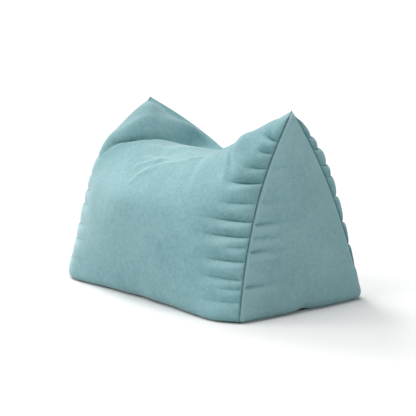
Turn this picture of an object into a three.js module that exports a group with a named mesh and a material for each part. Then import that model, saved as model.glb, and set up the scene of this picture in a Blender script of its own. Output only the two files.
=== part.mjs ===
// Wedge-shaped filled pouf in plain cloth, in millimetres, +Z up, standing on the floor.
// A wrap panel runs from the front foot over the ridge to the back foot. Its long edges are gathered
// into two triangular end panels, and a flat base panel closes it. X runs along the ridge, -Y is the front.
import * as THREE from 'three';
import { NURBSCurve } from 'three/addons/curves/NURBSCurve.js';
import { mergeVertices } from 'three/addons/utils/BufferGeometryUtils.js';

// Overall form
const footLength = 764; // from end to end at the floor
const footDepth = 431; // from the front seam's foot to the back seam's foot
const peakHeight = 506; // each corner peak above the floor
const dipHeight = 381; // the ridge halfway between the peaks
const dipRound = 0.02; // rounding of that dip, as a share of half the length
const ridgeBow = 3; // how far the ridge bows up between the dip and a peak
const endLean = 79; // how far each peak stands in from the foot of its end
const peakSetBack = 27; // the peaks stand this far behind the middle
const dipSetBack = 38; // and the ridge between them bends back by this much more
const setBackRise = [250, 400]; // over this range of heights
const seamBow = 30; // outward bow of each slanting end seam
const bowGain = 1.15; // its control points stand out this much more
const footRound = 22; // radius that rolls the cloth under at the floor

// Cloth sheets
const clothThickness = 2.4;
const pieceGap = 0.5;
const bodyFloor = clothThickness + pieceGap; // underside of all that stands on the base panel
const panelInset = 1.5; // end panel's edge inside the seam line
const recessInset = 0.8; // wall of the shallow recess that holds the end panel
const panelTop = 0.012; // and its tip this share of the way down
const baseInset = 5; // base panel's edge inside the wrap's foot

// End panels
const endDome = 20; // how far the middle of an end panel stands out
const domeFullness = 0.8; // below 1 it is fuller than a plain arch
const domeFoot = 0.86; // share of that arch reached at the floor
// Pinch where the end meets the floor: its cloth is sunk there and drawn up from the floor
const floorFold = { across: 0.5, depth: 9, width: 0.07, height: 0.16, lift: 9, liftFrom: 0.9 };

// Half sections of the wrap at shares of the way from the middle to an end. Each is a smooth curve
// drawn towards its control points, [outwards, height], from the ridge to the foot.
const frontSections = [
  { at: 0, crown: [6, 374], wall: [16, 366], hinge: [105, 395], seat: [133, 396],
    shoulder: [270, 302], belly: [281, 236], foot: 235 },
  { at: 0.17, crown: [6, 398], wall: [13, 377], hinge: [62, 385], seat: [145, 399],
    shoulder: [278, 280], belly: [271, 226], foot: 240 },
  { at: 0.35, crown: [8, 422], wall: [34, 428], hinge: [44, 373], seat: [133, 392],
    shoulder: [264, 285], belly: [261, 182], foot: 241 },
  { at: 0.65, crown: [16, 445], wall: [46, 428], hinge: [99, 402], seat: [106, 357],
    shoulder: [223, 259], belly: [230, 112], foot: 251 },
  { at: 0.85, crown: [11, 473], wall: [18, 467], hinge: [103, 363], seat: [115, 365],
    shoulder: [190, 167], belly: [216, 97], foot: 250 },
];
const backSections = [
  { at: 0, crown: [16, 367], wall: [42, 352], hinge: [84, 336], seat: [134, 314],
    shoulder: [225, 262], belly: [256, 185], foot: 235 },
  { at: 0.17, crown: [17, 387], wall: [43, 370], hinge: [84, 350], seat: [132, 324],
    shoulder: [223, 261], belly: [255, 177], foot: 236 },
  { at: 0.35, crown: [18, 406], wall: [44, 386], hinge: [84, 364], seat: [130, 336],
    shoulder: [220, 260], belly: [254, 168], foot: 237 },
  { at: 0.65, crown: [14, 446], wall: [32, 424], hinge: [66, 396], seat: [106, 350],
    shoulder: [203, 240], belly: [236, 124], foot: 246 },
  { at: 0.85, crown: [10, 472], wall: [24, 450], hinge: [58, 408], seat: [102, 350],
    shoulder: [185, 168], belly: [220, 98], foot: 245 },
];
const curveItems = ['crown', 'wall', 'hinge', 'seat', 'shoulder', 'belly'];
const profileKnots = [0, 0, 0, 0, 0.1, 0.2, 0.35, 0.6, 1, 1, 1, 1];

// Soft roll that the wrap makes beside each seam before it settles into its section. It grows from
// nothing at the peak to its full strength over the share named start.
const seamRolls = {
  frontRight: { height: 54, reach: 74, start: 0.05 },
  backRight: { height: 47, reach: 32, start: 0.08 },
  frontLeft: { height: 86, reach: 80, start: 0.05 },
  backLeft: { height: 38, reach: 28, start: 0.35 },
};
const rollFade = 250; // distance over which the roll dies away
const rollShape = { lean: 0.7, sharpness: 1.15, footLoss: 0.4 }; // how its strength runs down the seam

// Puckers where the wrap is gathered into a seam: share of the seam from the peak, depth and reach in
// millimetres, and how steeply each climbs as it leaves the seam
const frontPuckers = [
  { along: 0.156, depth: 10, reach: 70, climb: 0.45 },
  { along: 0.215, depth: 11, reach: 100, climb: 0.25 },
  { along: 0.29, depth: 10, reach: 75, climb: 0.15 },
  { along: 0.358, depth: 14, reach: 150, climb: 0 },
  { along: 0.457, depth: 8, reach: 110, climb: 0 },
  { along: 0.544, depth: 13, reach: 150, climb: 0.1 },
  { along: 0.615, depth: 13, reach: 160, climb: 0.06 },
  { along: 0.664, depth: 7, reach: 60, climb: 0 },
  { along: 0.728, depth: 13, reach: 150, climb: 0.06 },
  { along: 0.81, depth: 13, reach: 150, climb: 0.06 },
  { along: 0.852, depth: 11, reach: 90, climb: 0 },
  { along: 0.909, depth: 13, reach: 140, climb: 0 },
];
const backPuckers = [
  { along: 0.15, depth: 10, reach: 60, climb: 0.2 },
  { along: 0.215, depth: 13, reach: 75, climb: 0.15 },
  { along: 0.305, depth: 11, reach: 60, climb: 0.05 },
  { along: 0.37, depth: 8, reach: 50, climb: 0.05 },
  { along: 0.475, depth: 11, reach: 80, climb: 0 },
  { along: 0.61, depth: 13, reach: 90, climb: 0.05 },
  { along: 0.725, depth: 13, reach: 80, climb: 0.05 },
  { along: 0.84, depth: 13, reach: 70, climb: 0 },
  { along: 0.925, depth: 11, reach: 60, climb: 0 },
];
const puckerHold = 0.25; // share of its reach over which a pucker keeps its depth
const puckerRise = 17; // a pucker reaches its depth over about this height of the roll
const puckerAbove = 10; // half width of its valley at the seam, above the crease
const puckerBelow = 5; // and below it
const puckerWiden = 0.012; // share by which that grows with each millimetre from the seam
const climbReach = 90; // beyond this a pucker runs level
const leastSlope = 0.2; // flattest slope at which heights are turned into lengths
const farShift = -0.02; // the far end's puckers lie a little higher
const farFade = [0.2, 0.5]; // and grow from none to full over this share of the seam

// Folds of the front half: the crease where the left peak bends over the seat, the rim of the seat's
// hollow, and the cloth drawn smooth below the right peak. Each runs along a line of places, [x, v],
// from left to right, with its height, negative for a valley, its half width behind the line and
// before it, and the rounding of its crest or bottom.
const seatFolds = [
  {
    line: [[-330, -0.47], [-264, -0.36], [-222, -0.36], [-186, -0.34], [-113, -0.21], [-40, -0.1]],
    height: -15, behind: 30, before: 9, soften: 3,
  },
  {
    line: [[-75, -0.62], [-30, -0.56], [52, -0.483], [100, -0.44], [125, -0.36], [118, -0.26]],
    height: 12, behind: 8, before: 40, soften: 3,
  },
  {
    line: [[130, -0.46], [200, -0.42], [280, -0.36]],
    height: 9, behind: 40, before: 40, soften: 50,
  },
];
const foldReach = 600; // millimetres of cloth for one unit of v
const foldEnds = 0.22; // share of a fold's line over which each end fades
const foldTop = 0.1; // folds fade over this share of the section at the ridge

// Mesh fineness
const seamRings = [0, 1, 3, 7, 13, 22, 36, 56, 84, 118];
const middleRings = [
  -236, -212, -190, -168, -146, -124, -102, -80, -58, -36, -12, 12, 36, 58, 78, 96, 114, 134, 158, 188, 222,
];
const ridgeLines = [0, 0.02, 0.045, 0.07, 0.1];
const footLines = [0.965, 0.98, 0.992, 1];
const puckerSide = 0.012; // lines just beside a pucker, as a share of the seam
const lineSettle = [80, 200]; // distance from the seam over which a pucker's line leaves its height
const halvings = 22;
const panelRows = 22;
const panelColumns = 12;

const halfLength = footLength / 2;
const seamNormal = new THREE.Vector2(peakHeight, footDepth / 2).normalize();
const { smoothstep, lerp, clamp } = THREE.MathUtils;

const shifted = (puckers) => puckers.map((p) => ({
  ...p, along: p.along + farShift, depth: p.depth * smoothstep(p.along, ...farFade),
}));
const puckersOf = {
  frontRight: frontPuckers,
  backRight: backPuckers,
  frontLeft: shifted(frontPuckers),
  backLeft: shifted(backPuckers),
};

function seamName(end, side) {
  return (side < 0 ? 'front' : 'back') + (end < 0 ? 'Left' : 'Right');
}

// Control points of the end seam: a straight line from peak to foot, bowed outwards
function endSection() {
  const point = (share) => {
    const bow = seamBow * bowGain * Math.sin(Math.PI * share);
    return [
      (footDepth / 2) * share + bow * seamNormal.x,
      lerp(peakHeight, bodyFloor, share) + bow * seamNormal.y,
    ];
  };
  const section = { at: 1, foot: footDepth / 2 };
  curveItems.forEach((item, i) => {
    const [a, b, c] = profileKnots.slice(i + 2, i + 5);
    section[item] = point((a + b + c) / 3);
  });
  return section;
}

const sectionsOf = { front: [...frontSections, endSection()], back: [...backSections, endSection()] };

// Height of the ridge: a rounded V from the dip to the peaks, whose two arms bow up a little
function ridgeHeight(share) {
  const v = (Math.hypot(share, dipRound) - dipRound) / (Math.hypot(1, dipRound) - dipRound);
  return lerp(dipHeight, peakHeight, v) + ridgeBow * Math.sin(Math.PI * v);
}

// Blends one number of a sections table along the pouf, level at the middle
function blendSections(sections, share, read) {
  const last = sections.length - 1;
  const next = clamp(sections.findIndex((s) => s.at >= share), 1, last);
  const a = next - 1;
  const at = (i) => sections[i].at;
  const value = (i) => read(sections[i]);
  const slope = (i) => {
    if (i === 0) return 0;
    const high = Math.min(i + 1, last);
    return (value(high) - value(i - 1)) / (at(high) - at(i - 1));
  };
  const span = at(next) - at(a);
  const t = (share - at(a)) / span;
  const rise = t * t * (3 - 2 * t);
  return value(a) * (1 - rise) + value(next) * rise
    + span * (slope(a) * t * (1 - t) ** 2 - slope(next) * t * t * (1 - t));
}

// Half section as a curve in the plane across the pouf: x is outwards, y is height
function halfSection(share, sections) {
  const blend = (read) => blendSections(sections, share, read);
  const points = [
    new THREE.Vector4(0, ridgeHeight(share), 0, 1),
    ...curveItems.map((item) => new THREE.Vector4(blend((s) => s[item][0]), blend((s) => s[item][1]), 0, 1)),
    new THREE.Vector4(blend((s) => s.foot), bodyFloor, 0, 1),
  ];
  return new NURBSCurve(3, profileKnots, points);
}

const endCurve = halfSection(1, sectionsOf.front);
const curves = new Map();
function curveAt(share, side) {
  const half = side < 0 ? 'front' : 'back';
  const key = half + share.toFixed(4);
  if (!curves.has(key)) curves.set(key, halfSection(share, sectionsOf[half]));
  return curves.get(key);
}

// How strong the roll beside a seam is: none at the peak and little at the foot
function rollShare(q, start) {
  const swell = Math.max(Math.sin(Math.PI * q ** rollShape.lean), 0) ** rollShape.sharpness;
  return swell * (1 - rollShape.footLoss * q) * smoothstep(q, 0, start);
}

function rollHeight(seam, q, inFromSeam) {
  const { height, reach, start } = seamRolls[seam];
  const t = Math.min(inFromSeam / reach, 1);
  const quarter = Math.sqrt(1 - (1 - t) ** 2);
  return height * rollShare(q, start) * quarter * (1 - smoothstep(inFromSeam - reach, 0, rollFade));
}

// How far the cloth draws in below the height of a quarter circle on the floor
function rollUnder(height) {
  const t = clamp((footRound - height) / footRound, 0, 1);
  return footRound * (1 - Math.sqrt(1 - t * t));
}

// Height of a line that leaves the seam at a share of its length and climbs, levelling out further in
function climbingHeight(along, climb, inFromSeam) {
  return endCurve.getPoint(along).y + climb * climbReach * (1 - Math.exp(-inFromSeam / climbReach));
}

// Depth of the puckers at a height on the wrap, whose slope turns heights into lengths along the cloth
function puckerDepth(seam, height, slope, inFromSeam, roll) {
  const grow = 1 + puckerWiden * inFromSeam;
  const rise = 1 - Math.exp(-roll / puckerRise);
  let sum = 0;
  for (const p of puckersOf[seam]) {
    const off = (height - climbingHeight(p.along, p.climb, inFromSeam)) / Math.max(slope, leastSlope);
    const width = (off > 0 ? puckerAbove : puckerBelow) * grow;
    const fall = 1 - smoothstep(inFromSeam, puckerHold * p.reach, p.reach);
    sum += p.depth * rise * fall * Math.exp(-Math.abs(off) / width);
  }
  return sum;
}

// Height of the folds at a place on the front half, where q is the share of the way down
function foldHeight(x, q) {
  const here = new THREE.Vector2(x, -q * foldReach);
  let sum = 0;
  for (const fold of seatFolds) {
    const places = fold.line.map(([px, pv]) => new THREE.Vector2(px, pv * foldReach));
    const lengths = places.slice(1).map((place, i) => place.distanceTo(places[i]));
    const whole = lengths.reduce((total, length) => total + length, 0);
    let passed = 0;
    let nearest = { apart: Infinity };
    lengths.forEach((length, i) => {
      const step = places[i + 1].clone().sub(places[i]);
      const from = here.clone().sub(places[i]);
      const along = clamp(from.dot(step) / length ** 2, 0, 1);
      const apart = from.clone().addScaledVector(step, -along).length();
      if (apart < nearest.apart) {
        nearest = { apart, behind: step.cross(from) > 0, run: (passed + along * length) / whole };
      }
      passed += length;
    });
    const off = Math.hypot(nearest.apart, fold.soften) - fold.soften;
    const width = nearest.behind ? fold.behind : fold.before;
    const ends = smoothstep(nearest.run, 0, foldEnds) * smoothstep(1 - nearest.run, 0, foldEnds);
    sum += fold.height * ends * Math.exp(-off / width);
  }
  return sum * smoothstep(q, 0, foldTop);
}

// Point of the wrap: x is the place along the ridge, v runs from -1 at the front foot to 1 at the back
function wrapPoint(x, v) {
  const share = Math.abs(x) / halfLength;
  const side = v < 0 ? -1 : 1;
  const q = Math.abs(v);
  const seam = seamName(x, side);
  const inFromSeam = halfLength - Math.abs(x);
  const curve = curveAt(share, side);
  const point = curve.getPoint(q);
  const tangent = curve.getTangent(q);
  const roll = rollHeight(seam, q, inFromSeam);
  const rolled = point.y + tangent.x * roll;
  const pucker = puckerDepth(seam, rolled, Math.abs(tangent.y), inFromSeam, roll);
  const raised = roll - pucker + (side < 0 ? foldHeight(x, q) : 0);
  const height = Math.max(point.y + tangent.x * raised, bodyFloor);
  const out = point.x - tangent.y * raised - rollUnder(height);
  const setBack = peakSetBack * (height / peakHeight) ** 2
    + dipSetBack * (1 - share ** 2) * smoothstep(height, ...setBackRise);
  const seamHeight = endCurve.getPoint(q).y;
  const lean = share * ((endLean * seamHeight) / peakHeight + rollUnder(seamHeight));
  return new THREE.Vector3(x - Math.sign(x) * lean, side * Math.max(out, 0) + setBack, height);
}

// Lines that run from end to end: at the ridge, along and beside each pucker, between them, at the foot
function linesOf(side) {
  const right = puckersOf[seamName(1, side)];
  const left = puckersOf[seamName(-1, side)];
  const plain = (q) => ({ right: q, left: q });
  const lines = ridgeLines.map(plain);
  right.forEach((p, i) => {
    const l = left[i];
    const before = i ? right[i - 1].along : ridgeLines.at(-1);
    const between = (p.along + before) / 2;
    const add = (offset, base = p.along) => lines.push({
      right: base + offset, left: base + offset + l.along - p.along,
      climbRight: p.climb, climbLeft: l.climb, keepsHeight: true,
    });
    if (i || between - before > puckerSide) add(0, between);
    add(-puckerSide);
    add(0);
    add(puckerSide);
  });
  return [...lines, ...footLines.map(plain)];
}

// Share of the half section where the rolled wrap passes a height, by halving
function shareAtHeight(x, side, height) {
  const inFromSeam = halfLength - Math.abs(x);
  const curve = curveAt(Math.abs(x) / halfLength, side);
  let [high, low] = [0, 1];
  for (let i = 0; i < halvings; i += 1) {
    const q = (high + low) / 2;
    const rolled = curve.getPoint(q).y
      + curve.getTangent(q).x * rollHeight(seamName(x, side), q, inFromSeam);
    if (rolled > height) high = q;
    else low = q;
  }
  return (high + low) / 2;
}

// A pucker's line keeps to its height near an end and to its share of the section further in
function lineShare(line, x, side) {
  const shareFrom = (end, along, climb) => {
    const inFromSeam = halfLength - end * x;
    if (!line.keepsHeight || inFromSeam > lineSettle[1]) return along;
    const level = shareAtHeight(x, side, climbingHeight(along, climb, inFromSeam));
    return lerp(level, along, smoothstep(inFromSeam, ...lineSettle));
  };
  const right = shareFrom(1, line.right, line.climbRight);
  const left = shareFrom(-1, line.left, line.climbLeft);
  return lerp(left, right, smoothstep(x, -lineSettle[0], lineSettle[0]));
}

const ringPlaces = [
  ...seamRings.map((d) => d - halfLength),
  ...middleRings,
  ...seamRings.map((d) => halfLength - d).reverse(),
];
const frontLines = linesOf(-1);
const backLines = linesOf(1);

// Rows of points from the front foot over the ridge to the back foot, one row a ring
const wrapRows = ringPlaces.map((x) => [
  ...frontLines.slice(1).reverse().map((line) => wrapPoint(x, -lineShare(line, x, -1))),
  ...backLines.map((line) => wrapPoint(x, lineShare(line, x, 1))),
]);

// Outward normal of the plane through an end's peak and feet
function endNormal(end) {
  return new THREE.Vector3(end * peakHeight, 0, endLean).normalize();
}

// Point of an end seam: v from -1 at the front foot over the peak to 1 at the back foot
function seamPoint(end, v) {
  return wrapPoint(end * halfLength, v);
}

// How far an end panel domes out: across from the front seam to the back one, down from the peak
function domeHeight(across, down) {
  const crown = (1 - (2 * across - 1) ** 2) ** domeFullness;
  const lift = Math.max(Math.sin(Math.PI * down * domeFoot), 0) ** domeFullness;
  const fold = Math.exp(-Math.abs(across - floorFold.across) / floorFold.width)
    * Math.exp(-(1 - down) / floorFold.height);
  return endDome * crown * lift - floorFold.depth * fold;
}

// One row of an end surface at a share of the way down, sunk below it along the end's normal
function endRow(end, down, shares, sink) {
  const front = seamPoint(end, -down);
  const back = seamPoint(end, down);
  return shares.map((across) => {
    const point = front.clone().lerp(back, across);
    point.addScaledVector(endNormal(end), domeHeight(across, down) - sink);
    point.z = down === 1 ? bodyFloor : Math.max(point.z, bodyFloor);
    const bend = Math.exp(-(((across - floorFold.across) / floorFold.width) ** 2));
    point.z += floorFold.lift * bend * smoothstep(down, floorFold.liftFrom, 1);
    return point;
  });
}

// Rows of an end panel's surface from the peak to the floor. The body's recess has the same rows,
// with a rim nearer to the seam.
function endRows(end, sink, recessed = false) {
  const rows = [];
  for (let i = 0; i <= panelRows; i += 1) {
    const down = lerp(panelTop, 1, (i / panelRows) ** 0.9);
    const width = seamPoint(end, -down).distanceTo(seamPoint(end, down));
    const start = i ? panelInset / width : 0.5;
    const shares = Array.from({ length: panelColumns + 1 }, (_, k) => lerp(start, 1 - start, k / panelColumns));
    const rim = recessInset / width;
    rows.push(endRow(end, down, recessed ? [rim, ...shares, 1 - rim] : shares, sink));
  }
  if (recessed) rows.unshift(endRow(end, panelTop / 2, rows[0].map(() => 0.5), sink));
  return rows;
}

// Triangles between neighbouring rows; an outline turned the other way is flipped
function skin(rows, flip = false) {
  const triangles = [];
  for (let i = 0; i + 1 < rows.length; i += 1) {
    for (let k = 0; k + 1 < rows[i].length; k += 1) {
      const [a, b, c, d] = [rows[i][k], rows[i + 1][k], rows[i + 1][k + 1], rows[i][k + 1]];
      triangles.push(flip ? [a, c, b] : [a, b, c], flip ? [a, d, c] : [a, c, d]);
    }
  }
  return triangles;
}

// Triangles between two rows that have other counts of points, matched by their run along the row
function stitch(rowA, rowB, flip = false) {
  const run = (row) => {
    const sums = [0];
    for (let i = 1; i < row.length; i += 1) sums.push(sums[i - 1] + row[i].distanceTo(row[i - 1]));
    return sums.map((s) => s / sums.at(-1));
  };
  const [runA, runB] = [run(rowA), run(rowB)];
  const triangles = [];
  let [i, k] = [0, 0];
  while (i + 1 < rowA.length || k + 1 < rowB.length) {
    const stepA = k + 1 >= rowB.length || (i + 1 < rowA.length && runA[i + 1] <= runB[k + 1]);
    const third = stepA ? rowA[i + 1] : rowB[k + 1];
    triangles.push(flip ? [rowA[i], third, rowB[k]] : [rowA[i], rowB[k], third]);
    if (stepA) i += 1;
    else k += 1;
  }
  return triangles;
}

// One closed mesh from triangles of points, without the ones that have shrunk to a line
function solid(name, triangles, color) {
  const positions = triangles.flat().flatMap((p) => [p.x, p.y, p.z]);
  const loose = new THREE.BufferGeometry();
  loose.setAttribute('position', new THREE.Float32BufferAttribute(positions, 3));
  const merged = mergeVertices(loose, 1e-3);
  const index = merged.getIndex().array;
  const kept = [];
  for (let i = 0; i < index.length; i += 3) {
    const [a, b, c] = index.slice(i, i + 3);
    if (a !== b && b !== c && c !== a) kept.push(a, b, c);
  }
  merged.setIndex(kept);
  merged.computeVertexNormals();
  const material = new THREE.MeshStandardMaterial({ color, roughness: 0.95, metalness: 0 });
  const mesh = new THREE.Mesh(merged, material);
  mesh.name = name;
  return mesh;
}

// Edge of an end surface, from the front foot over the peak to the back foot
function slantEdge(rows) {
  return [...rows.map((row) => row[0]).reverse(), ...rows.slice(1).map((row) => row.at(-1))];
}

// Flat underside inside the feet of the wrap and the floor rows of the two recesses, facing down
function underside(leftRow, rightRow) {
  const front = wrapRows.map((row) => row[0]);
  const back = wrapRows.map((row) => row.at(-1)).reverse();
  const outline = [...front, ...rightRow, ...back, ...leftRow.toReversed()];
  const flat = outline.map((point) => new THREE.Vector2(point.x, point.y));
  const faces = THREE.ShapeUtils.triangulateShape(flat, []);
  return faces.map(([a, b, c]) => [outline[a], outline[c], outline[b]]);
}

// Filled body: the wrap, two recessed ends and the underside
function buildBody() {
  const triangles = skin(wrapRows);
  const ends = [-1, 1].map((end) => {
    const rows = endRows(end, clothThickness + pieceGap, true);
    const ring = end < 0 ? wrapRows[0] : wrapRows.at(-1);
    triangles.push(...skin(rows, end < 0));
    triangles.push(...stitch(ring, slantEdge(rows), end < 0));
    return rows;
  });
  triangles.push(...underside(...ends.map((rows) => rows.at(-1))));
  return solid('body', triangles, 0x8fbcc1);
}

// End panel: a thin domed sheet that lies in the body's recess
function buildEndPanel(name, end) {
  const outer = endRows(end, 0);
  const inner = endRows(end, clothThickness);
  const triangles = [...skin(outer, end < 0), ...skin(inner, end > 0)];
  const edge = (rows) => [...slantEdge(rows), ...rows.at(-1).slice(0, -1).reverse()];
  triangles.push(...skin([edge(outer), edge(inner)], end > 0));
  return solid(name, triangles, 0x7dabaf);
}

// Base panel: a flat sheet on the floor inside the line of the wrap's foot
function buildBasePanel() {
  const outline = new THREE.Shape();
  const corner = (point) => new THREE.Vector2(
    point.x - Math.sign(point.x) * baseInset, point.y - Math.sign(point.y) * baseInset);
  const front = wrapRows.map((row) => corner(row[0]));
  const back = wrapRows.map((row) => corner(row.at(-1))).reverse();
  outline.setFromPoints([...front, ...back]);
  const sheet = new THREE.ExtrudeGeometry(outline, { depth: clothThickness, bevelEnabled: false });
  const material = new THREE.MeshStandardMaterial({ color: 0x6f9a9e, roughness: 0.95, metalness: 0 });
  const mesh = new THREE.Mesh(sheet, material);
  mesh.name = 'base_panel';
  return mesh;
}

const pouf = new THREE.Group();
pouf.add(
  buildBody(),
  buildEndPanel('end_panel_right', 1),
  buildEndPanel('end_panel_left', -1),
  buildBasePanel(),
);

// The origin is the middle of the floor under the pouf's box
const box = new THREE.Box3().setFromObject(pouf);
const middle = box.getCenter(new THREE.Vector3());
pouf.children.forEach((mesh) => mesh.position.set(-middle.x, -middle.y, 0));

export default pouf;
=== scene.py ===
from math import cos, pi, radians, sin

import bmesh
import bpy
import numpy as np
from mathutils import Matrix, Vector


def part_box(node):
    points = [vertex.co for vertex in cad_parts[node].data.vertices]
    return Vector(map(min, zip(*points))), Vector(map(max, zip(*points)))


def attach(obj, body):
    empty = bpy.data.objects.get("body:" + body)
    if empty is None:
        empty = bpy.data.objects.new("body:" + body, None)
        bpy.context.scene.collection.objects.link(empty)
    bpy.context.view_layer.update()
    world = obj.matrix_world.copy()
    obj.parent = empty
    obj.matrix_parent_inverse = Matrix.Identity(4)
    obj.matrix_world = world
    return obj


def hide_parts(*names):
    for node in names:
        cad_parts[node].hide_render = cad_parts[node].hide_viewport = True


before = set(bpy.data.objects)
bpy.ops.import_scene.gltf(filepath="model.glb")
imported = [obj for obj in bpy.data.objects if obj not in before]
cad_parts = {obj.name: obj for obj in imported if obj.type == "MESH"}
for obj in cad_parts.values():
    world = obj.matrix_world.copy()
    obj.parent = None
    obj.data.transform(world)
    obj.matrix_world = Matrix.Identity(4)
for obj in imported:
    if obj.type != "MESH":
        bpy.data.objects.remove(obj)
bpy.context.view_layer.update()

# Filled wedge pouf in velvet. The pouf's sizes are in millimetres and startMesh turns them into metres.
# X runs along the ridge, -Y is the front, +Z is up. A place on the wrap panel is x along the
# pouf and v across it, from -1 at the front foot over the ridge at 0 to 1 at the back foot. On one
# half, q is v without its sign. Ends are -1 for left and 1 for right, sides -1 for front and 1 for back.
metre = 1000

# Shape: the same driving sizes as the solids inside
form = {
    "footLength": 764,           # from end to end at the floor
    "footDepth": 431,            # from the front seam's foot to the back seam's foot
    "peakHeight": 506,
    "dipHeight": 381,            # the ridge halfway between the peaks
    "dipRound": 0.02,            # rounding of that dip, as a share of half the length
    "ridgeBow": 3,               # how far the ridge bows up between the dip and a peak
    "endLean": 79,               # how far a peak stands in from the foot of its end
    "peakSetBack": 27,
    "dipSetBack": 38,            # the ridge between the peaks is set back by this much more
    "setBackRise": (250, 400),   # which grows from none to full between these heights
    "seamBow": 30,               # outward bow of each slanting end seam
    "bowGain": 1.15,             # its control points stand out this many times as far
    "footRound": 22,             # radius that rolls the cloth under at the floor
    "bodyFloor": 2.9,            # underside of the body, just above the base panel
}
halfLength = form["footLength"] / 2


def bell(x):
    # exp(-x^2)
    return np.exp(-(x ** 2))


def smooth(x, low, high):
    # S curve from 0 at low to 1 at high
    t = np.clip((x - low) / (high - low), 0, 1)
    return t * t * (3 - 2 * t)


# Half sections of the wrap at shares of the way from the middle to an end: control points (outwards,
# height) from ridge to foot
frontSections = [
    {"at": 0.0, "crown": (6, 374), "wall": (16, 366), "hinge": (105, 395), "seat": (133, 396),
     "shoulder": (270, 302), "belly": (281, 236), "foot": 235},
    {"at": 0.17, "crown": (6, 398), "wall": (13, 377), "hinge": (62, 385), "seat": (145, 399),
     "shoulder": (278, 280), "belly": (271, 226), "foot": 240},
    {"at": 0.35, "crown": (8, 422), "wall": (34, 428), "hinge": (44, 373), "seat": (133, 392),
     "shoulder": (264, 285), "belly": (261, 182), "foot": 241},
    {"at": 0.65, "crown": (16, 445), "wall": (46, 428), "hinge": (99, 402), "seat": (106, 357),
     "shoulder": (223, 259), "belly": (230, 112), "foot": 251},
    {"at": 0.85, "crown": (11, 473), "wall": (18, 467), "hinge": (103, 363), "seat": (115, 365),
     "shoulder": (190, 167), "belly": (216, 97), "foot": 250},
]
backSections = [
    {"at": 0.0, "crown": (16, 367), "wall": (42, 352), "hinge": (84, 336), "seat": (134, 314),
     "shoulder": (225, 262), "belly": (256, 185), "foot": 235},
    {"at": 0.17, "crown": (17, 387), "wall": (43, 370), "hinge": (84, 350), "seat": (132, 324),
     "shoulder": (223, 261), "belly": (255, 177), "foot": 236},
    {"at": 0.35, "crown": (18, 406), "wall": (44, 386), "hinge": (84, 364), "seat": (130, 336),
     "shoulder": (220, 260), "belly": (254, 168), "foot": 237},
    {"at": 0.65, "crown": (14, 446), "wall": (32, 424), "hinge": (66, 396), "seat": (106, 350),
     "shoulder": (203, 240), "belly": (236, 124), "foot": 246},
    {"at": 0.85, "crown": (10, 472), "wall": (24, 450), "hinge": (58, 408), "seat": (102, 350),
     "shoulder": (185, 168), "belly": (220, 98), "foot": 245},
]
curveItems = ("crown", "wall", "hinge", "seat", "shoulder", "belly")
profileKnots = (0, 0, 0, 0, 0.1, 0.2, 0.35, 0.6, 1, 1, 1, 1)
profileDegree = 3


def endSection():
    # The end seam: a straight line from peak to foot, bowed outwards along its normal by a sine. Each
    # item's place on it is the mean of its control point's inner knots.
    rise, run = form["peakHeight"], form["footDepth"] / 2
    length = np.hypot(rise, run)
    def point(share):
        bow = form["seamBow"] * form["bowGain"] * sin(pi * share) / length
        height = rise + (form["bodyFloor"] - rise) * share
        return (run * share + bow * rise, height + bow * run)
    row = {"at": 1.0, "foot": run}
    for firstKnot, item in enumerate(curveItems, start=2):
        row[item] = point(sum(profileKnots[firstKnot:firstKnot + profileDegree]) / profileDegree)
    return row


def ridgeHeight(share):
    # Rounded V: a hyperbola from the dip to the peaks, and a sine that bows its two arms
    r = form["dipRound"]
    v = (np.hypot(share, r) - r) / (np.hypot(1, r) - r)
    bow = form["ridgeBow"] * np.sin(pi * v)
    return form["dipHeight"] + (form["peakHeight"] - form["dipHeight"]) * v + bow


def sectionControls(share, side):
    # Control points at each share: smooth cubic pieces through the table's rows, level at the middle
    table = (frontSections if side < 0 else backSections) + [endSection()]
    at = np.array([s["at"] for s in table])
    rows = np.array([[*sum((s[item] for item in curveItems), ()), s["foot"]] for s in table], float)
    slope = np.zeros_like(rows)
    slope[1:-1] = (rows[2:] - rows[:-2]) / (at[2:] - at[:-2])[:, None]
    slope[-1] = (rows[-1] - rows[-2]) / (at[-1] - at[-2])
    high = np.clip(np.searchsorted(at, share), 1, len(at) - 1)
    low = high - 1
    span = (at[high] - at[low])[:, None]
    t = (share - at[low])[:, None] / span
    rise = smooth(t, 0, 1)
    n = rows[low] * (1 - rise) + rows[high] * rise
    n += span * (slope[low] * t * (1 - t) ** 2 - slope[high] * t * t * (1 - t))
    floor = np.full_like(share, form["bodyFloor"])
    outward = np.column_stack([np.zeros_like(share), n[:, 0::2]])
    height = np.column_stack([ridgeHeight(share), n[:, 1::2], floor])
    return outward, height


def splineWeights(q):
    # Weight of each control point at q: B-spline basis, built up from its spans degree by degree
    knots = np.array(profileKnots)
    lastPlace = 1 - 1e-9     # the last knot itself lies in no span
    q = np.clip(q, 0, lastPlace)[..., None]
    weights = ((q >= knots[:-1]) & (q < knots[1:])).astype(float)
    for degree in range(1, profileDegree + 1):
        first = knots[degree:-1] - knots[:-degree - 1]
        second = knots[degree + 1:] - knots[1:-degree]
        left = (q - knots[:-degree - 1]) / np.where(first > 0, first, 1) * (first > 0)
        right = (knots[degree + 1:] - q) / np.where(second > 0, second, 1) * (second > 0)
        weights = left * weights[..., :-1] + right * weights[..., 1:]
    return weights


def profile(share, q, side):
    # Outwards, height and unit direction of the half sections, one row a share and one column a q
    outward, height = sectionControls(share, side)
    def curve(at):
        weights = splineWeights(at)
        return outward @ weights.T, height @ weights.T
    out, up = curve(q)
    step = 1e-4
    a = curve(np.clip(q - step, 0, 1))
    b = curve(np.clip(q + step, 0, 1))
    along, rise = b[0] - a[0], b[1] - a[1]
    length = np.hypot(along, rise)
    return out, up, along / length, rise / length


def seamHeight(share):
    # Height of the end seam at a share of its length
    _, up, _, _ = profile(np.array([1.0]), np.atleast_1d(share), -1)
    return up[0]


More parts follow.
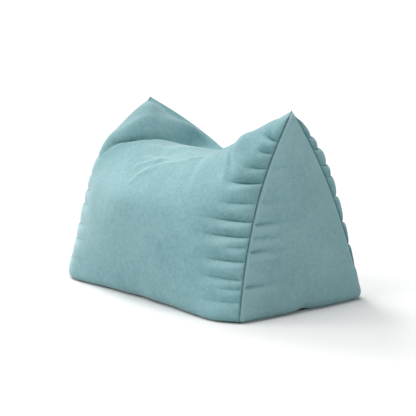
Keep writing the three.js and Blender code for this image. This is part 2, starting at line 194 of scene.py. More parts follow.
# Soft roll of the wrap beside each seam, by end and side. It grows from nothing at the peak to its
# full strength over the share named start.
seamRolls = {
    (1, -1): {"height": 54, "reach": 74, "start": 0.05},
    (1, 1): {"height": 47, "reach": 32, "start": 0.08},
    (-1, -1): {"height": 86, "reach": 80, "start": 0.05},
    (-1, 1): {"height": 38, "reach": 28, "start": 0.35},
}
rollShape = {
    "lean": 0.7,             # below 1 the strongest place moves up the seam
    "sharpness": 1.15,
    "footLoss": 0.4,         # share of its strength that is lost at the foot
    "fade": 250,             # distance over which it dies away into the section
}


def rollHeight(seam, q, inFromSeam):
    # Quarter circle up from the seam, then a slow fade into the section. Its strength down the seam is
    # sin(pi * q^lean)^sharpness, less the loss towards the foot.
    roll, shape = seamRolls[seam], rollShape
    t = np.minimum(inFromSeam / roll["reach"], 1)
    swell = np.maximum(np.sin(pi * q ** shape["lean"]), 0) ** shape["sharpness"]
    strength = swell * (1 - shape["footLoss"] * q) * smooth(q, 0, roll["start"])
    fade = 1 - smooth(inFromSeam - roll["reach"], 0, shape["fade"])
    return roll["height"] * strength * np.sqrt(1 - (1 - t) ** 2) * fade


def rollUnder(height):
    # How far the cloth draws in below the height of a quarter circle on the floor
    radius = form["footRound"]
    t = np.clip((radius - height) / radius, 0, 1)
    return radius * (1 - np.sqrt(1 - t * t))


# Puckers gathered into the seams: share of the seam from the peak, depth, reach and climb
frontPuckers = [
    {"along": 0.156, "depth": 12, "reach": 60, "climb": 0.45},
    {"along": 0.215, "depth": 10, "reach": 40, "climb": 0.25},
    {"along": 0.29, "depth": 10, "reach": 50, "climb": 0.15},
    {"along": 0.358, "depth": 14, "reach": 110, "climb": 0},
    {"along": 0.457, "depth": 8, "reach": 110, "climb": 0},
    {"along": 0.544, "depth": 13, "reach": 150, "climb": 0.1},
    {"along": 0.615, "depth": 13, "reach": 160, "climb": 0.06},
    {"along": 0.664, "depth": 7, "reach": 60, "climb": 0},
    {"along": 0.728, "depth": 13, "reach": 150, "climb": 0.06},
    {"along": 0.81, "depth": 13, "reach": 150, "climb": 0.06},
    {"along": 0.852, "depth": 11, "reach": 90, "climb": 0},
    {"along": 0.909, "depth": 13, "reach": 140, "climb": 0},
]
backPuckers = [
    {"along": 0.15, "depth": 10, "reach": 60, "climb": 0.2},
    {"along": 0.215, "depth": 13, "reach": 75, "climb": 0.15},
    {"along": 0.305, "depth": 11, "reach": 60, "climb": 0.05},
    {"along": 0.37, "depth": 8, "reach": 50, "climb": 0.05},
    {"along": 0.475, "depth": 11, "reach": 80, "climb": 0},
    {"along": 0.61, "depth": 13, "reach": 90, "climb": 0.05},
    {"along": 0.725, "depth": 13, "reach": 80, "climb": 0.05},
    {"along": 0.84, "depth": 13, "reach": 70, "climb": 0},
    {"along": 0.925, "depth": 11, "reach": 60, "climb": 0},
]
pucker = {
    "rise": 17,              # height of the roll over which one reaches its depth
    "hold": 0.25,            # share of its reach over which it keeps its depth
    "above": 10,             # half width of its valley at the seam, above the crease
    "below": 5,              # and below it
    "widen": 0.012,          # share by which that grows with each millimetre from the seam
    "leastSlope": 0.2,       # flattest slope at which heights are turned into lengths
    "climbReach": 90,        # beyond this it runs level
    "farShift": -0.02,       # the far end's puckers lie a little higher
    "farFade": (0.2, 0.5),   # and grow from none to full over this share of the seam
    "farShare": 0.6,         # and are shallower
    "soften": 0.6,           # rounding of the valley's bottom
    "crease": 0.3,           # share of its depth that a sharp crease adds
    "creaseWidth": 2,
    "fullDepth": 13,         # depth at which the tones below are full
}
# Painted highlight about a crease, or painted shade where negative: bands with their middle and
# half width as shares of the valley's half width (painted shade above the crease, painted highlight below
# it), and a dark line in millimetres along the bottom, painted where the crease's shade falls
puckerShadingBands = [
    {"middle": 0.4, "width": 0.9, "tone": -0.8},
    {"middle": -1.6, "width": 1.1, "tone": 0.9},
]
puckerCreaseShade = {"width": 2.2, "tone": -0.9}


def puckersOf(seam):
    # The near end's puckers, or the far end's, which are shifted and shallower copies
    end, side = seam
    table = frontPuckers if side < 0 else backPuckers
    if end > 0:
        return table
    return [{**p, "along": p["along"] + pucker["farShift"],
             "depth": p["depth"] * pucker["farShare"] * smooth(p["along"], *pucker["farFade"])}
            for p in table]


def puckerDepth(seam, height, slope, inFromSeam, roll):
    # Sum of valleys about lines that climb and then level out: exp(-distance / width) and a narrower
    # crease along the bottom. The painted shading is the sum of their bands and lines: painted shade above
    # each crease and along its bottom, painted highlight below it.
    grow = 1 + pucker["widen"] * inFromSeam
    rise = 1 - np.exp(-roll / pucker["rise"])
    depth = np.zeros_like(height)
    paintedShading = np.zeros_like(height)
    for p in puckersOf(seam):
        lift = p["climb"] * pucker["climbReach"] * (1 - np.exp(-inFromSeam / pucker["climbReach"]))
        level = seamHeight(p["along"])[0] + lift
        above = (height - level) / np.maximum(slope, pucker["leastSlope"])
        width = np.where(above > 0, pucker["above"], pucker["below"]) * grow
        off = np.hypot(above, pucker["soften"]) - pucker["soften"]
        fall = 1 - smooth(inFromSeam, pucker["hold"] * p["reach"], p["reach"])
        valley = np.exp(-off / width) + pucker["crease"] * np.exp(-off / pucker["creaseWidth"])
        depth += p["depth"] * rise * fall * valley
        # Painted shade above the crease and a painted dark line along its bottom, painted highlight below it
        tone = puckerCreaseShade["tone"] * bell(above / puckerCreaseShade["width"])
        for band in puckerShadingBands:
            tone += band["tone"] * bell((above / width - band["middle"]) / band["width"])
        paintedShading += np.sqrt(rise) * fall * p["depth"] / pucker["fullDepth"] * tone
    return depth, paintedShading


# Folds of the front half, each along a line of places (x, v) from left to right: height, negative
# for a valley, half width behind the line and before it, rounding of its crest or bottom, shares of
# the line over which its two ends fade, and its painted highlight, or painted shade where negative,
# on each side
seatFolds = [
    {"line": ((-330, -0.47), (-264, -0.36), (-222, -0.36), (-186, -0.34), (-113, -0.21), (-40, -0.1)),
     "height": -15, "behind": 30, "before": 13, "soften": 4, "fades": (0.4, 0.22), "paintedShadingTones": (-1.3, 0.1)},
    {"line": ((-75, -0.62), (-30, -0.56), (52, -0.483), (100, -0.44), (150, -0.4)),
     "height": 12, "behind": 9, "before": 40, "soften": 3, "fades": (0.22, 0.25), "paintedShadingTones": (0.25, 0.05)},
    {"line": ((130, -0.46), (200, -0.42), (280, -0.36)),
     "height": 9, "behind": 40, "before": 40, "soften": 50, "fades": (0.22, 0.22), "paintedShadingTones": (0, 0)},
    {"line": ((-135, -0.5), (-87, -0.47), (-15, -0.479), (59, -0.475)),
     "height": 6, "behind": 9, "before": 17, "soften": 4, "fades": (0.3, 0.22), "paintedShadingTones": (0.25, 0)},
    {"line": ((-115, -0.56), (-94, -0.52), (-66, -0.496), (-15, -0.483)),
     "height": 5.5, "behind": 9, "before": 15, "soften": 4, "fades": (0.3, 0.22), "paintedShadingTones": (0.25, 0)},
    {"line": ((-65, -0.64), (-52, -0.575), (-50, -0.51)),
     "height": 5, "behind": 9, "before": 14, "soften": 4, "fades": (0.3, 0.3), "paintedShadingTones": (0.25, 0)},
    {"line": ((-180, -0.44), (-130, -0.41), (-40, -0.37), (60, -0.3)),
     "height": 5, "behind": 9, "before": 18, "soften": 4, "fades": (0.3, 0.3), "paintedShadingTones": (0.25, 0)},
]
foldReach = 600          # millimetres of cloth for one unit of v
foldTop = 0.1            # folds fade over this share of the section at the ridge

# Soft patches of painted highlight on the front, or painted shade where negative: centre and
# reach as places (x, v), and how far
paintedShadingPatches = [
    {"at": (-270, -0.13), "reach": (120, 0.17), "tone": -0.6},   # the face of the far ear
    {"at": (-100, -0.08), "reach": (90, 0.05), "tone": -0.7},    # its lower edge towards the dip
    {"at": (-70, -0.24), "reach": (130, 0.09), "tone": 0.7},     # the seat in front of that
    {"at": (-382, -0.6), "reach": (40, 0.3), "tone": 0.8},       # along the far seam
    {"at": (60, -1), "reach": (400, 0.25), "tone": -0.5},        # along the floor
    {"at": (300, -0.22), "reach": (100, 0.2), "tone": -0.7},     # the face of the near ear
]


def foldHeight(x, q):
    # Sum of folds on the front half: each is exp(-distance / width) about its line of places, and so is
    # its painted shading, to which the soft patches of painted shade and highlight are added
    total = np.zeros((len(x), len(q)))
    paintedShading = np.zeros_like(total)
    for fold in seatFolds:
        places = np.array(fold["line"]) * (1, foldReach)
        steps = np.diff(places, axis=0)
        lengths = np.hypot(*steps.T)
        passed = np.concatenate([[0], np.cumsum(lengths)])
        nearest = np.full(total.shape, np.inf)
        width = np.zeros(total.shape)
        run = np.zeros(total.shape)
        tone = np.zeros(total.shape)
        for start, step, length, before in zip(places, steps, lengths, passed):
            fromX, fromV = x[:, None] - start[0], -q[None] * foldReach - start[1]
            along = np.clip((fromX * step[0] + fromV * step[1]) / length ** 2, 0, 1)
            apart = np.hypot(fromX - along * step[0], fromV - along * step[1])
            behind = step[0] * fromV - step[1] * fromX > 0
            closer = apart < nearest
            nearest = np.where(closer, apart, nearest)
            width = np.where(closer, np.where(behind, fold["behind"], fold["before"]), width)
            tone = np.where(closer, np.where(behind, *fold["paintedShadingTones"]), tone)
            run = np.where(closer, (before + along * length) / passed[-1], run)
        off = np.hypot(nearest, fold["soften"]) - fold["soften"]
        first, last = fold["fades"]
        ends = smooth(run, 0, first) * smooth(1 - run, 0, last)
        shape = ends * np.exp(-off / width)
        total += fold["height"] * shape
        paintedShading += tone * shape
    fade = smooth(q, 0, foldTop)
    paintedShading = paintedShading * fade
    for patch in paintedShadingPatches:
        (atX, atV), (reachX, reachV) = patch["at"], patch["reach"]
        paintedShading += patch["tone"] * bell((x[:, None] - atX) / reachX) * bell((-q[None] - atV) / reachV)
    return total * fade, paintedShading


seamGroove = {"depth": 3, "width": 3}   # where a seam draws the wrap and the end panel in

# Painted shade beside the front and back seams, where the groove's shadow falls, and at the floor, where
# contact shade falls
seamShade = {-1: {"dark": 0.6, "reach": 7}, 1: {"dark": 1.3, "reach": 14}}
floorShade = {"dark": 1.5, "reach": 7}


def wrapPoints(x, q, side):
    # Half of the wrap: the section, its roll and puckers along its normal, then set back and leant in
    share = np.abs(x) / halfLength
    out, up, along, rise = profile(share, q, side)
    inFromSeam = (halfLength - np.abs(x))[:, None]
    raised = np.zeros_like(out)
    paintedShading = np.zeros_like(out)
    clothFromSeam = np.zeros_like(out)
    for end in (-1, 1):
        mine = x * end >= 0
        inward = inFromSeam[mine]
        roll = rollHeight((end, side), q[None], inward)
        rolled = up[mine] + along[mine] * roll
        clothFromSeam[mine] = np.hypot(roll, inward)
        depth, tone = puckerDepth((end, side), rolled, np.abs(rise[mine]), inward, roll)
        raised[mine] = roll - depth
        paintedShading[mine] = tone
    if side < 0:
        fold, tone = foldHeight(x, q)
        raised += fold
        paintedShading += tone
    height = up + along * raised
    out = out - rise * raised
    # Painted shade beside the seams, and below it painted contact shade towards the floor
    paintedShading -= seamShade[side]["dark"] * np.exp(-clothFromSeam / seamShade[side]["reach"])
    height = np.maximum(height, form["bodyFloor"])
    paintedShading -= floorShade["dark"] * np.exp(-height / floorShade["reach"])
    out = out - rollUnder(height)
    level = height / form["peakHeight"]
    seamLevel = seamHeight(q)[None] / form["peakHeight"]
    setBack = form["peakSetBack"] * level ** 2
    setBack = setBack + form["dipSetBack"] * (1 - share[:, None] ** 2) * smooth(height, *form["setBackRise"])
    y = side * np.maximum(out, 0) + setBack
    lean = share[:, None] * (form["endLean"] * seamLevel + rollUnder(seamHeight(q))[None])
    sunk = seamGroove["depth"] * bell(clothFromSeam / seamGroove["width"])
    points = np.stack([x[:, None] - np.sign(x)[:, None] * (lean + sunk), y, height], axis=-1)
    return points, paintedShading


# Rings of the wrap, crowded towards the seams, and lines of the half section from ridge to foot
wrapMesh = {"halfRings": 100, "crowding": 2, "lines": 361}
halfRings = halfLength * (1 - (1 - np.linspace(0, 1, wrapMesh["halfRings"])) ** wrapMesh["crowding"])
ringPlaces = np.concatenate([-halfRings[:0:-1], halfRings])
lines = np.linspace(0, 1, wrapMesh["lines"])

frontHalf, frontPaintedShading = wrapPoints(ringPlaces, lines, -1)
backHalf, backPaintedShading = wrapPoints(ringPlaces, lines, 1)
wrapGrid = np.concatenate([frontHalf[:, :0:-1], backHalf], axis=1)
wrapPaintedShading = np.concatenate([frontPaintedShading[:, :0:-1], backPaintedShading], axis=1)
endRing = {-1: 0, 1: -1}   # place of each end's seam among the rings
endWidths = np.linalg.norm(backHalf[-1] - frontHalf[-1], axis=-1)[:, None]   # between its seams, by row
print("wrap worked out:", wrapGrid.shape[0], "rings of", wrapGrid.shape[1], "points")

# The solids were centred on their box, so the looks are moved by the same amount
panelLow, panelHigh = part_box("end_panel_right")
centreShift = np.array([0, (panelLow.y + panelHigh.y) / 2 * metre, 0])

endPanels = {
    "dome": 20,              # how far the middle of an end panel stands out
    "fullness": 0.8,         # below 1 the dome is fuller than a plain arch
    "domeFoot": 0.86,        # share of that arch that is passed at the floor
    "foldAcross": 0.5,       # pinch where the end meets the floor
    "foldDepth": 9,
    "foldWidth": 0.07,
    "foldHeight": 0.16,
    "foldLift": 4,           # its cloth is drawn up from the floor
    "foldLiftFrom": 0.9,     # from this share of the way down
    "thickness": 2.2,
    "inset": 1.2,            # its edge inside the seam line
    "firstRow": 3,           # rows of the grid left out at its tip
    "columns": 91,
    "recessInset": 0.6,      # inset and columns of the body's recess
    "recessColumns": 41,
    "gap": 0.5,              # between the panel and the body
    "lip": 1.2,              # height of the cloth's turned edge beside the groove
    "lipPlace": 6,
    "lipWidth": 3,
}

# Swells drawn into the end panels beside their front seam by the wrap's puckers
endPuckers = [
    {"along": 0.3, "depth": 2},
    {"along": 0.46, "depth": 2},
    {"along": 0.565, "depth": 7},
    {"along": 0.628, "depth": 4},
    {"along": 0.69, "depth": 7},
    {"along": 0.845, "depth": 7},
]
# Their half widths and the bands of their painted highlight and shade are shares of the seam
endPucker = {
    "above": 0.016,
    "below": 0.008,
    "reach": 22,             # distance from the seam at which one is deepest
    "shadingBands": ({"middle": 0.028, "width": 0.014, "tone": 0.13}, {"middle": 0, "width": 0.012, "tone": -0.13}),
}


def domeHeight(across, down):
    # How far an end panel domes out, an arch across times a sine down, less the pinch at the floor
    p = endPanels
    crown = (1 - (2 * across - 1) ** 2) ** p["fullness"]
    lift = np.maximum(np.sin(pi * down * p["domeFoot"]), 0) ** p["fullness"]
    fold = np.exp(-np.abs(across - p["foldAcross"]) / p["foldWidth"]) * np.exp(-(1 - down) / p["foldHeight"])
    return p["dome"] * crown * lift - p["foldDepth"] * fold


def endSwells(across, down):
    # Sum of short valleys from the front seam: t * exp(1 - t) across, exp(-distance / width) down. The
    # painted shading is the sum of their bands of painted highlight and shade.
    t = across * endWidths / endPucker["reach"]
    depth = np.zeros(np.broadcast(across, down).shape)
    paintedShading = np.zeros_like(depth)
    for p in endPuckers:
        off = down - p["along"]
        wide = np.where(off < 0, endPucker["above"], endPucker["below"])
        run = p["depth"] * t * np.exp(1 - t)
        depth += run * np.exp(-np.abs(off) / wide)
        for band in endPucker["shadingBands"]:
            paintedShading += run * band["tone"] * bell((off - band["middle"]) / band["width"])
    return depth, paintedShading


def turnedEdge(fromEdge):
    # Bell over the cloth that is turned in along the seams
    return bell((fromEdge - endPanels["lipPlace"]) / endPanels["lipWidth"])


def endNormal(end):
    # Unit normal of an end's slanting plane
    normal = np.array([end * form["peakHeight"], 0, form["endLean"]])
    return normal / np.linalg.norm(normal)


def endSurface(end, across, sink):
    # Rows from the peak to the floor between the front and back seam, moved out along the end's normal
    # by the dome, the turned edge and the groove's bell, less the swells' valleys and the sink
    p = endPanels
    down = lines[:, None]
    front, back = frontHalf[endRing[end]], backHalf[endRing[end]]
    points = front[:, None] * (1 - across)[..., None] + back[:, None] * across[..., None]
    fromEdge = np.minimum(across, 1 - across) * endWidths
    edge = p["lip"] * turnedEdge(fromEdge)
    edge += seamGroove["depth"] * (1 - bell(fromEdge / seamGroove["width"]))
    drawn, _ = endSwells(across, down)
    lift = domeHeight(across, down) + edge - drawn - sink
    points = points + lift[..., None] * endNormal(end)
    points[..., 2] = np.maximum(points[..., 2], form["bodyFloor"])
    points[-1, :, 2] = form["bodyFloor"]
    bend = bell((across - p["foldAcross"]) / p["foldWidth"]) * smooth(down, p["foldLiftFrom"], 1)
    points[..., 2] += p["foldLift"] * bend
    return points


def insetShares(inset, columns):
    # Shares across the end for each row, closer together at the seams and held inside them by an inset
    start = np.minimum(inset / np.maximum(endWidths, inset), 0.5)
    t = (1 - np.cos(pi * np.linspace(0, 1, columns)))[None] / 2
    return start + (1 - 2 * start) * t


def linkObject(name, data):
    # A new object of the scene that holds the data
    thing = bpy.data.objects.new(name, data)
    bpy.context.scene.collection.objects.link(thing)
    return thing


def startMesh(name, points, faces):
    # A mesh from points in millimetres, moved as the solids were
    mesh = bpy.data.meshes.new(name)
    mesh.from_pydata(((points + centreShift) / metre).tolist(), [], faces)
    return mesh


def finishMesh(mesh):
    # Smooth shading, and an object with the mesh's name
    mesh.polygons.foreach_set("use_smooth", [True] * len(mesh.polygons))
    return linkObject(mesh.name, mesh)


def gridFaces(rows, columns, first=0, flip=False):
    # Quads of a grid whose points are numbered row by row from first
    index = first + np.arange(rows * columns).reshape(rows, columns)
    corners = [index[:-1, :-1], index[1:, :-1], index[1:, 1:], index[:-1, 1:]]
    if flip:
        corners.reverse()
    return np.stack(corners, axis=-1).reshape(-1, 4)


clothMerge = {"doubles": 2e-5, "slivers": 1e-7}   # distances in metres


def makeCloth(name, parts, extraFaces=()):
    # One closed object from grids given as (points, flip, painted shading), joined where their points are
    # doubled
    points, faces, paintedShadingParts, first = [], [], [], 0
    for grid, flip, paintedShading in parts:
        rows, columns = grid.shape[:2]
        points.append(grid.reshape(-1, 3))
        paintedShadingParts.append(np.broadcast_to(paintedShading, (rows, columns)).ravel())
        faces.append(gridFaces(rows, columns, first, flip))
        first += rows * columns
    mesh = startMesh(name, np.concatenate(points), np.concatenate(faces).tolist() + list(extraFaces))
    paintedShadingLayer = mesh.attributes.new("paintedShading", "FLOAT", "POINT")
    paintedShadingLayer.data.foreach_set("value", np.concatenate(paintedShadingParts).astype(np.float32))
    work = bmesh.new()
    work.from_mesh(mesh)
    bmesh.ops.remove_doubles(work, verts=work.verts, dist=clothMerge["doubles"])
    bmesh.ops.dissolve_degenerate(work, dist=clothMerge["slivers"], edges=work.edges)
    work.to_mesh(mesh)
    work.free()
    return finishMesh(mesh)


# Filled body: the wrap, the two recesses behind the end panels and the flat underside
recess = {}
for end in (-1, 1):
    inner = insetShares(endPanels["recessInset"], endPanels["recessColumns"])
    edge = np.zeros((len(lines), 1))
    shares = np.concatenate([edge, inner, 1 - edge], axis=1)
    surface = endSurface(end, shares, endPanels["thickness"] + endPanels["gap"])
    surface[:, 0] = frontHalf[endRing[end]]
    surface[:, -1] = backHalf[endRing[end]]
    recess[end] = surface


def undersideFace():
    # The wrap's feet and the recesses' lowest rows, in the order in which makeCloth numbers the points
    ringCount, lineCount = wrapGrid.shape[:2]
    rowCount, columnCount = recess[1].shape[:2]
    leftLast = ringCount * lineCount + (rowCount - 1) * columnCount
    rightLast = leftLast + rowCount * columnCount
    frontFeet = [i * lineCount for i in range(ringCount)]
    backFeet = [(i + 1) * lineCount - 1 for i in range(ringCount)]
    leftRow = [leftLast + k for k in range(1, columnCount - 1)]
    rightRow = [rightLast + k for k in range(1, columnCount - 1)]
    return (frontFeet + rightRow + backFeet[::-1] + leftRow[::-1])[::-1]


body = makeCloth(
    "velvet_body",
    [(wrapGrid, False, wrapPaintedShading), (recess[-1], True, 0), (recess[1], False, 0)],
    [undersideFace()],
)
print("body made:", len(body.data.polygons), "faces")

# Painted highlight on the end panels over the turned edge, beside the front seam and at the
# peak
endHighlight = {"edge": 1.2, "seam": 0.45, "seamReach": 0.25, "top": 0.4, "topReach": 0.5}


def makeEndPanel(name, end):
    # A thin domed sheet: an outer and an inner surface joined round the edge
    down = lines[:, None]
    shares = insetShares(endPanels["inset"], endPanels["columns"])
    start = endPanels["firstRow"]
    outer = endSurface(end, shares, 0)[start:]
    inner = endSurface(end, shares, endPanels["thickness"])[start:]
    def border(grid):
        return np.concatenate([grid[::-1, 0], grid[0, 1:], grid[1:, -1], grid[-1, -2::-1]])
    rim = np.stack([border(outer), border(inner)])
    # Painted shading: bands about the swells, painted highlight on the turned edge, beside the front seam
    # and at the peak, and painted contact shade at the floor
    _, paintedShading = endSwells(shares, down)
    paintedShading += endHighlight["edge"] * turnedEdge(np.minimum(shares, 1 - shares) * endWidths)
    paintedShading += endHighlight["seam"] * np.exp(-shares / endHighlight["seamReach"])
    paintedShading += endHighlight["top"] * (1 - smooth(down, 0, endHighlight["topReach"]))
    paintedShading -= floorShade["dark"] * np.exp(-seamHeight(lines)[:, None] / floorShade["reach"])
    return makeCloth(name, [(outer, end < 0, paintedShading[start:]), (inner, end > 0, 0), (rim, end < 0, 0)])


panels = {
    "end_panel_right": makeEndPanel("velvet_end_right", 1),
    "end_panel_left": makeEndPanel("velvet_end_left", -1),
}
print("end panels made")

# Seam threads: short tubes across the groove, sunk at both tips
threads = {
    "pitch": 4.7,
    "length": 4.4,
    "radius": 0.7,
    "lift": 1.9,             # height above the groove's bottom
    "start": 25,             # distance of the first from the peak and of the last from the floor
    "sides": 6,
    # Rings of each tube: place as a share of its length, share of its radius, and height
    "rings": ((-0.5, 0.3, -0.8), (-0.3, 1, 0), (0.3, 1, 0), (0.5, 0.3, -0.8)),
}


def makeThreads(name, end):
    # Tubes at even steps along both seams of an end. Their rings stand about a line across the seam.
    t = threads
    normal = endNormal(end)
    centres, runs = [], []
    for half in (frontHalf, backHalf):
        path = half[endRing[end]]
        passed = np.concatenate([[0], np.cumsum(np.linalg.norm(np.diff(path, axis=0), axis=1))])
        places = np.arange(t["start"], passed[-1] - t["start"], t["pitch"])
        at = np.column_stack([np.interp(places, passed, column) for column in path.T])
        run = np.gradient(at, axis=0)
        centres.append(at + normal * t["lift"])
        runs.append(run / np.linalg.norm(run, axis=1)[:, None])
    centre, run = np.concatenate(centres), np.concatenate(runs)
    across = np.cross(normal, run)
    place, share, height = np.array(t["rings"]).T
    turn = np.linspace(0, 2 * pi, t["sides"], endpoint=False)
    ringRadius = share * t["radius"]
    around = run[:, None, None] * (np.cos(turn) * ringRadius[:, None])[None, ..., None]
    outward = np.sin(turn) * ringRadius[:, None] + height[:, None]
    points = centre[:, None, None] + across[:, None, None] * (place * t["length"])[None, :, None, None]
    points = points + around + normal * outward[None, ..., None]
    index = np.arange(points[..., 0].size).reshape(points.shape[:3])
    beside = np.roll(index, -1, axis=2)
    walls = np.stack([index[:, :-1], beside[:, :-1], beside[:, 1:], index[:, 1:]], axis=-1)
    faces = walls.reshape(-1, 4).tolist() + index[:, 0, ::-1].tolist() + index[:, -1].tolist()
    return finishMesh(startMesh(name, points.reshape(-1, 3), faces))


seamThreads = [makeThreads("thread_right", 1), makeThreads("thread_left", -1)]
print("seam threads made")


class Wire:
    # A socket that can be used in sums: each operator adds its Math node
    def __init__(self, shop, socket):
        self.shop, self.socket = shop, socket

    def __add__(self, other):
        return self.shop.math("ADD", self, other)

    def __radd__(self, other):
        return self.shop.math("ADD", other, self)

    def __sub__(self, other):
        return self.shop.math("SUBTRACT", self, other)

    def __rsub__(self, other):
        return self.shop.math("SUBTRACT", other, self)

    def __mul__(self, other):
        return self.shop.math("MULTIPLY", self, other)

    def __rmul__(self, other):
        return self.shop.math("MULTIPLY", other, self)


class NodeShop:
    # Makes the nodes of one material
    def __init__(self, name):
        self.material = bpy.data.materials.new(name)
        self.material.use_nodes = True
        self.tree = self.material.node_tree
        self.tree.nodes.clear()

    def node(self, kind, settings, inputs, outlet=0):
        # Makes a node, sets it, fills or links its inputs, and returns one of its outputs
        made = self.tree.nodes.new(kind)
        for key, value in settings.items():
            setattr(made, key, value)
        for key, value in inputs.items():
            if isinstance(value, Wire):
                self.tree.links.new(value.socket, made.inputs[key])
            else:
                made.inputs[key].default_value = value
        return Wire(self, made.outputs[outlet]) if made.outputs else None

    def math(self, operation, a, b):
        # One Math node on two sockets, or on a socket and a number
        return self.node("ShaderNodeMath", {"operation": operation}, {0: a, 1: b})


velvet = {
    "deep": (0.085, 0.220, 0.240),     # darkest colour: nap lying away, and painted shade
    "light": (0.270, 0.460, 0.485),    # lightest colour: nap brushed up, and painted highlight
    "middle": 0.73,                    # how far the even pile is brushed up
    "paintedShading": 0.5,                       # strength of the painted shading
    # Noises for large soft patches, blotches and grain
    "patches": {"strength": 0.55, "scale": 9.0, "detail": 3.0},
    "blotches": {"strength": 0.4, "scale": 70.0, "detail": 3.0},
    "grain": {"strength": 0.8, "scale": 260.0, "detail": 2.0},
    "noiseMean": 0.5,
    "grainHeight": 0.7,                # shares of grain and blotches in the bump
    "blotchHeight": 0.3,
    "bump": 0.4,
    "bumpDistance": 0.001,             # metres
    "roughness": 0.9,
    "specular": 0.1,
    "sheen": 0.42,
    "sheenRoughness": 0.45,
    "sheenTint": (0.94, 0.88, 0.88),
}
# Lightness of each cloth beside the wrap's. The base cloth is near black, its sheen scaled down with its
# tone, so its edge shows as a dark line at the floor: painted contact shade.
# The seam thread's dark tone is partly its own colour and partly painted shade of the seam's groove
clothTones = {"wrapVelvet": 1.0, "endVelvet": 0.93, "baseClothContactShade": 0.08, "seamThread": 0.55}
# Places of the Mix node's sockets when it mixes colours
mixFactor, mixFirst, mixSecond, mixResult = 0, 6, 7, 2


def velvetMaterial(name, tone):
    # Colour between deep and light by the sum of the painted shading (painted shade and highlight) and three
    # noises (the velvet's own mottling), each less its mean
    v = velvet
    shop = NodeShop(name)
    place = shop.node("ShaderNodeTexCoord", {}, {}, "Object")
    paintedShading = shop.node("ShaderNodeAttribute", {"attribute_name": "paintedShading"}, {}, "Fac")
    def noise(look):
        inputs = {"Vector": place, "Scale": look["scale"], "Detail": look["detail"]}
        return shop.node("ShaderNodeTexNoise", {}, inputs)
    patches, blotches, grain = (noise(v[kind]) for kind in ("patches", "blotches", "grain"))
    mean = v["noiseMean"]
    # The painted shading adds painted shade and highlight; the three noises are the velvet's own mottling
    mask = paintedShading * v["paintedShading"] + (patches - mean) * v["patches"]["strength"] + v["middle"]
    mask = mask + (blotches - mean) * v["blotches"]["strength"] + (grain - mean) * v["grain"]["strength"]
    deep = (*(c * tone for c in v["deep"]), 1)
    light = (*(c * tone for c in v["light"]), 1)
    mixing = {"data_type": "RGBA", "clamp_factor": True}
    mixed = {mixFactor: mask, mixFirst: deep, mixSecond: light}
    colour = shop.node("ShaderNodeMix", mixing, mixed, mixResult)
    height = grain * v["grainHeight"] + blotches * v["blotchHeight"]
    bump = shop.node("ShaderNodeBump", {}, {
        "Height": height, "Strength": v["bump"], "Distance": v["bumpDistance"],
    })
    shader = shop.node("ShaderNodeBsdfPrincipled", {}, {
        "Base Color": colour, "Roughness": v["roughness"], "Normal": bump, "Sheen Weight": v["sheen"] * tone,
        "Sheen Roughness": v["sheenRoughness"], "Sheen Tint": (*v["sheenTint"], 1),
        "Specular IOR Level": v["specular"],
    })
    shop.node("ShaderNodeOutputMaterial", {}, {"Surface": shader})
    return shop.material


wrapCloth, endCloth, baseClothContactShade, seamThread = (velvetMaterial(*item) for item in clothTones.items())
body.data.materials.append(wrapCloth)
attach(body, "root")
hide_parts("body")
for node, panel in panels.items():
    panel.data.materials.append(endCloth)
    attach(panel, "root")
    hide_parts(node)
for thread in seamThreads:
    thread.data.materials.append(seamThread)
    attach(thread, "root")
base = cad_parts["base_panel"]
base.data.materials.clear()
base.data.materials.append(baseClothContactShade)
print("cloths put on")

# Camera at the photo's angle, in degrees, metres and pixels
cameraView = {
    "azimuth": 50.61,
    "elevation": 8.70,
    "distance": 3.54,
    "lens": 111.8,
    "target": (0.0, 0.0, 0.2595),
    "middlePixel": (208.8, 193.4),     # where the target shows
    "imageSize": 416,
}


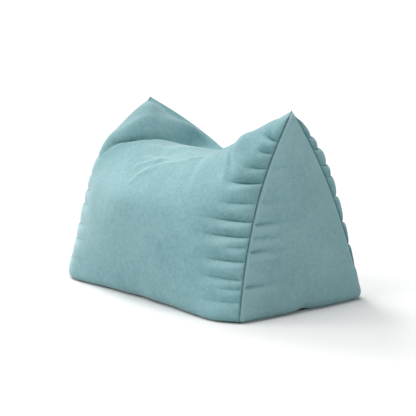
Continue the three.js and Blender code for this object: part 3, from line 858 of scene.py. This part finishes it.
def makeCamera():
    # Stands back from the target along its angles, and is shifted so that the target shows off centre
    c = cameraView
    a, e = radians(c["azimuth"]), radians(c["elevation"])
    back = Vector((sin(a) * cos(e), -cos(a) * cos(e), sin(e)))
    data = bpy.data.cameras.new("photoCamera")
    thing = linkObject("photoCamera", data)
    thing.location = Vector(c["target"]) + Vector(centreShift / metre) + back * c["distance"]
    thing.rotation_mode = "QUATERNION"
    thing.rotation_quaternion = (-back).to_track_quat("-Z", "Y")
    data.lens = c["lens"]
    half = c["imageSize"] / 2
    data.shift_x = (half - c["middlePixel"][0]) / c["imageSize"]
    data.shift_y = (c["middlePixel"][1] - half) / c["imageSize"]
    bpy.context.scene.camera = thing


makeCamera()

studio = {
    "sky": {"colour": (1, 1, 1, 1), "strength": 0.02},
    "lamps": [
        {"from": (-0.4, -2.2, 2.6), "spread": 24, "power": 0.77},
        {"from": (-2.4, -2.6, 0.8), "spread": 24, "power": 1.35},
        {"from": (-0.45, -0.1, 0.87), "spread": 40, "power": 1.29},
        {"from": (-3.0, 0.6, 2.2), "spread": 24, "power": 1.48},
        {"from": (3.0, 0.4, 1.4), "spread": 24, "power": 0.89},
        {"from": (0.0, 0.0, 1.0), "spread": 40, "power": 1.06},
    ],
    "floor": {"colour": (0.8, 0.8, 0.8, 1), "roughness": 0.8, "reach": 300},
}


def makeStudio():
    # An even sky, soft suns that shine from their side towards the middle, and a wide flat floor
    world = bpy.data.worlds.new("softSky")
    bpy.context.scene.world = world
    world.use_nodes = True
    background = world.node_tree.nodes["Background"]
    background.inputs["Color"].default_value = studio["sky"]["colour"]
    background.inputs["Strength"].default_value = studio["sky"]["strength"]
    for number, lamp in enumerate(studio["lamps"]):
        light = bpy.data.lights.new(f"softLamp{number}", "SUN")
        light.angle = radians(lamp["spread"])
        light.energy = lamp["power"]
        thing = linkObject(light.name, light)
        thing.rotation_mode = "QUATERNION"
        thing.rotation_quaternion = Vector(lamp["from"]).to_track_quat("Z", "Y")
    look = studio["floor"]
    s = look["reach"]
    mesh = bpy.data.meshes.new("studioFloor")
    mesh.from_pydata([(-s, -s, 0), (s, -s, 0), (s, s, 0), (-s, s, 0)], [], [(0, 1, 2, 3)])
    floor = linkObject("studioFloor", mesh)
    shop = NodeShop("paleFloor")
    inputs = {"Base Color": look["colour"], "Roughness": look["roughness"]}
    shader = shop.node("ShaderNodeBsdfPrincipled", {}, inputs)
    shop.node("ShaderNodeOutputMaterial", {}, {"Surface": shader})
    floor.data.materials.append(shop.material)


makeStudio()
bpy.context.scene.view_settings.view_transform = "Standard"
print("studio made")

bpy.context.view_layer.update()
